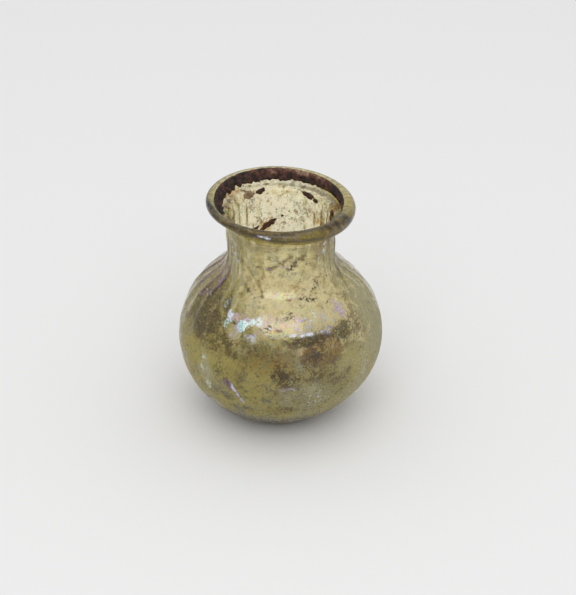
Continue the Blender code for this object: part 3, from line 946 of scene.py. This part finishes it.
class MESH_OT_flask_crust(bpy.types.Operator):
    """Lay the ragged earth crust round the inside of the mouth, and the dried clots in the neck"""

    bl_idname = "mesh.flask_crust"
    bl_label = "Crust and clots"

    first_azimuth = -16.0
    last_azimuth = 214.0
    columns = 480
    rows = 18
    highest = math.radians(98.0)  # how far over the roll the crust reaches at the back
    upper_edge = 1.3 * MM  # how far down from there the crust starts and ends
    lower_edge = 3.8 * MM
    thinnest = 0.05 * MM
    thickness = 0.65 * MM
    sunk = 0.06 * MM  # how deep its back lies in the glass

    def execute(self, context):
        scene = context.scene
        glass = Glass(scene.flask_sizes)
        material = earth_crust_material(scene.flask_colours)
        for name, bm in (("mouth_crust", self.band(glass)), ("neck_clots", self.clots(glass))):
            bmesh.ops.remove_doubles(bm, verts=bm.verts, dist=WELD)
            bmesh.ops.recalc_face_normals(bm, faces=bm.faces)
            piece = make_object(name, bm, material)
            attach(piece, BODY)
        return {"FINISHED"}

    def band(self, glass):
        """A closed, lumpy sheet on the funnel of the mouth, thin at its ragged edges."""
        bm = bmesh.new()
        first = math.radians(self.first_azimuth)
        turn = math.radians(self.last_azimuth) - first
        count = 2 * self.rows
        chain = [(glass.ledge_radius, glass.ledge_height + MM * i) for i in range(count + 1)]
        place = spun(bm, chain, self.columns, turn)
        dryness_and_light = bm.verts.layers.float.new("dryness_and_light")
        for vert in bm.verts:
            along = (math.atan2(vert.co.y, vert.co.x) % TURN) / turn
            step = vert[place]
            back = step > self.rows
            p = (count - step if back else step) / self.rows
            vert.co = self.crust_point(glass, first + min(along, 1.0) * turn, p, back, along)
            # Towards its upper edge at the back the crust is lighter and rustier: partly drier earth, partly
            # painted light.
            crumbs = 1.5 * bump(first + along * turn, math.radians(74.0), 12.0) - 0.2
            vert[dryness_and_light] = (1.0 - smooth_step(p, 0.1, 0.8)) * crumbs
        return bm

    def crust_point(self, glass, azimuth, p, back, along):
        """A point of the crust: p goes from its upper edge under the lip to its ragged lower edge."""
        over = [glass.roll_point(azimuth, a) for a in spread(self.highest, glass.roll_end, 4)]
        path = [Vector(q) for q in over + glass.mouth(azimuth)]
        spot = (math.cos(azimuth) * 0.02, math.sin(azimuth) * 0.02, 0.0)
        ragged = 1.1 * grain(spot, 0.0030, 1.0) + 1.1 * grain(spot, 0.0011, 2.0)
        left = bump(azimuth, math.radians(190.0), 12.0)
        back_lip = bump(azimuth, math.radians(95.0), 2.0)
        start = self.upper_edge + MM * (0.3 * max(grain(spot, 0.0016, 8.0), 0.0) - 1.1 * back_lip)
        rough = bump(azimuth, math.radians(130.0), 3.0)
        ragged *= 0.25 + 0.75 * max(left, 0.8 * rough)
        end = self.lower_edge + MM * (1.9 * left + 0.3 * rough + ragged)
        end = start + (end - start) * (0.15 + 0.85 * smooth_step(min(along, 1 - along), 0.0, 0.14))
        run = start + (end - start) * p
        for here, there in zip(path, path[1:]):
            step = (there - here).length
            if run <= step or there is path[-1]:
                break
            run -= step
        along_wall = (there - here).normalized()
        inward = Vector((along_wall.y, -along_wall.x))
        centre = here + along_wall * run
        inward = -inward if inward.x > 0 else inward
        lump = 0.5 + 0.9 * grain((spot[0], spot[1], p * 0.004), 0.0016, 4.0)
        lump += 0.4 * grain((spot[0], spot[1], p * 0.004), 0.0005, 6.0)
        edge = smooth_step(min(p, 1 - p), 0.0, 0.12) * smooth_step(min(along, 1 - along), 0.0, 0.1)
        thick = (self.thinnest + self.thickness * max(lump, 0.05)) * edge
        centre = centre + inward * (-self.sunk if back else thick)
        return glass.placed(centre.x, centre.y, azimuth)

    def clots(self, glass):
        """Lumps of dried earth stuck to the inside of the neck."""
        bm = bmesh.new()
        dryness_and_light = bm.verts.layers.float.new("dryness_and_light")
        for azimuth, height, half_length, half_width, thick, rise, dry in CLOTS:
            angle = math.radians(azimuth)
            middle = glass.placed(glass.bore, height * MM, angle)
            turn = Matrix.Rotation(angle, 4, "Z") @ Matrix.Rotation(-math.radians(rise), 4, "X")
            size = Matrix.Diagonal((thick * MM, half_length * MM, half_width * MM, 1.0))
            matrix = Matrix.Translation(middle) @ turn @ size
            new = bmesh.ops.create_icosphere(bm, subdivisions=4, radius=1.0, matrix=matrix)["verts"]
            for vert in new:
                out = vert.co - middle
                vert.co += out * (0.55 * grain(vert.co, 0.0016, azimuth) + 0.3 * grain(vert.co, 0.0007, 3.0))
                vert[dryness_and_light] = dry
        return bm


class SCENE_OT_flask_stage(bpy.types.Operator):
    """Set the pale floor, the softbox, the room light and the camera"""

    bl_idname = "scene.flask_stage"
    bl_label = "Stage"

    floor_radius = 4.0
    floor_drop = 0.0001
    sensor = 36.0
    shift = (0.01262, 0.05719)
    front_size = (1.25, 0.62)

    def panel(self, name, place, tilt, size, brightness):
        """An even light panel that faces down, tilted back towards the flask."""
        lamp = bpy.data.lights.new(name, "AREA")
        lamp.shape = "RECTANGLE"
        lamp.size, lamp.size_y = size
        lamp.energy = brightness * math.pi * size[0] * size[1]
        light = bpy.data.objects.new(name, lamp)
        light.location = place
        light.rotation_euler = (tilt, 0.0, 0.0)
        bpy.context.scene.collection.objects.link(light)

    def execute(self, context):
        scene = context.scene
        settings, colours = scene.flask_stage, scene.flask_colours
        bm = bmesh.new()
        bmesh.ops.create_circle(bm, cap_ends=True, segments=96, radius=self.floor_radius)
        bmesh.ops.translate(bm, verts=bm.verts, vec=(0.0, 0.0, -self.floor_drop))
        make_object("floor", bm, floor_material(colours))

        height, width = settings.overhead_height, settings.overhead_width
        self.panel("softbox", (0.0, 0.0, height), 0.0, (width, width), settings.overhead_light)
        up, away = settings.front_elevation, settings.front_distance
        place = (0.0, -away * math.cos(up), away * math.sin(up))
        self.panel("front_panel", place, math.pi / 2 - up, self.front_size, settings.front_light)

        world = bpy.data.worlds.new("pale_room")
        world.use_nodes = True
        background = world.node_tree.nodes["Background"]
        background.inputs["Color"].default_value = (1.0, 1.0, 1.0, 1.0)
        background.inputs["Strength"].default_value = settings.room_light
        scene.world = world

        glass = Glass(scene.flask_sizes)
        data = bpy.data.cameras.new("camera")
        data.sensor_fit = "HORIZONTAL"
        data.sensor_width = self.sensor
        data.lens = settings.lens
        data.shift_x, data.shift_y = self.shift
        data.clip_start, data.clip_end = 0.01, 20.0
        camera = bpy.data.objects.new("camera", data)
        down = settings.camera_elevation
        away = Vector((0.0, -math.cos(down), math.sin(down))) * settings.camera_distance
        camera.location = Vector((0.0, 0.0, glass.centre)) + away
        camera.rotation_euler = (math.pi / 2 - down, 0.0, 0.0)
        scene.collection.objects.link(camera)
        scene.camera = camera
        scene.view_settings.view_transform = "Standard"
        return {"FINISHED"}


class VIEW3D_PT_flask(bpy.types.Panel):
    """Lists the flask's pieces, sizes and colours"""

    bl_label = "Glass Flask"
    bl_idname = "VIEW3D_PT_flask"
    bl_space_type = "VIEW_3D"
    bl_region_type = "UI"
    bl_category = "Flask"

    def draw(self, context):
        layout = self.layout
        for operator in PIECES:
            layout.operator(operator.bl_idname)
        for group in (context.scene.flask_sizes, context.scene.flask_colours, context.scene.flask_stage):
            box = layout.box()
            for name in group.__annotations__:
                box.prop(group, name)


GROUPS = {"flask_sizes": FlaskSizes, "flask_colours": FlaskColours, "flask_stage": FlaskStage}
PIECES = (SCENE_OT_flask_stage, MESH_OT_flask_glass, MESH_OT_flask_crust)
CLASSES = tuple(GROUPS.values()) + PIECES + (VIEW3D_PT_flask,)


def register():
    for cls in CLASSES:
        bpy.utils.register_class(cls)
    for name, group in GROUPS.items():
        setattr(bpy.types.Scene, name, PointerProperty(type=group))


def unregister():
    for name in GROUPS:
        delattr(bpy.types.Scene, name)
    for cls in reversed(CLASSES):
        bpy.utils.unregister_class(cls)


def main():
    """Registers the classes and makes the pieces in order."""
    register()
    bpy.ops.scene.flask_stage()
    bpy.ops.mesh.flask_glass()
    bpy.ops.mesh.flask_crust()


if __name__ == "__main__":
    main()
